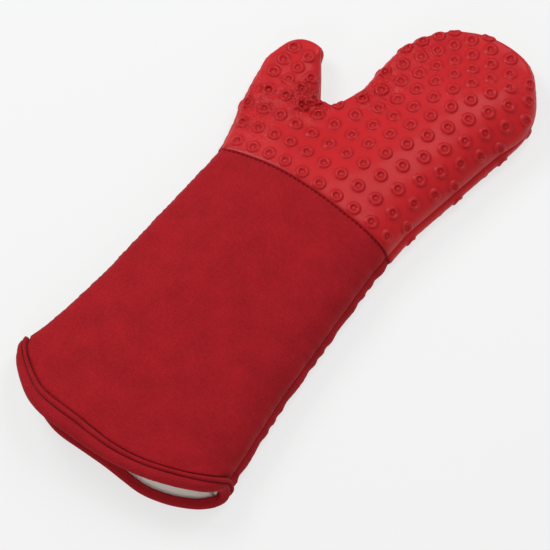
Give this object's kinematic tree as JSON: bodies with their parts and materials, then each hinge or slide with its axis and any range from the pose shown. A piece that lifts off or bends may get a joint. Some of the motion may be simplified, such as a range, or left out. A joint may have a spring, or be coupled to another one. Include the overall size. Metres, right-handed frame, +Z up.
{
  "type": "oven mitt",
  "caption": "Long padded oven mitt with a flared cotton cuff and a silicone hand with raised ring grips; thumb and fingers fold towards the palm.",
  "frame": {"origin": "on the table under the middle of the mitt's length and width, lying on its back", "axes": "+Y towards the fingertips, +Z up out of the palm, thumb on the -X side"},
  "size_m": [0.1772, 0.4, 0.038],
  "materials": {
    "silicone": "semi-matte moulded red silicone",
    "cotton_twill": "red cotton twill",
    "binding_cotton": "dark red cotton strip, folded",
    "thread": "dark red sewing thread",
    "wadding": "off-white needled cotton wadding",
    "lining_cotton": "off-white plain cotton"
  },
  "bodies": {
    "palm": {"cuff_front_panel": "cotton_twill", "cuff_back_panel": "cotton_twill", "mouth_binding": "binding_cotton", "binding_thread": "thread", "wrist_thread": "thread", "palm_silicone_front": "silicone", "palm_wadding_front": "wadding", "palm_lining_front": "lining_cotton", "palm_silicone_back": "silicone", "palm_wadding_back": "wadding", "palm_lining_back": "lining_cotton", "palm_seam_thread": "thread"},
    "thumb": {"thumb_silicone_front": "silicone", "thumb_wadding_front": "wadding", "thumb_lining_front": "lining_cotton", "thumb_silicone_back": "silicone", "thumb_wadding_back": "wadding", "thumb_lining_back": "lining_cotton", "thumb_seam_thread": "thread"},
    "fingers": {"finger_silicone_front": "silicone", "finger_wadding_front": "wadding", "finger_lining_front": "lining_cotton", "finger_silicone_back": "silicone", "finger_wadding_back": "wadding", "finger_lining_back": "lining_cotton", "finger_seam_thread": "thread"}
  },
  "joints": [
    {"name": "finger_curl", "type": "hinge", "parent": "palm", "child": "fingers", "pos_m": [0.03, 0.116, 0.02], "axis": [1, 0, 0], "range_deg": [0, 60], "stiffness_Nm_per_rad": 0.06},
    {"name": "thumb_fold", "type": "hinge", "parent": "palm", "child": "thumb", "pos_m": [-0.03805, 0.101, 0.02], "axis": [0.829, 0.5593, 0], "range_deg": [0, 60], "stiffness_Nm_per_rad": 0.03}
  ]
}
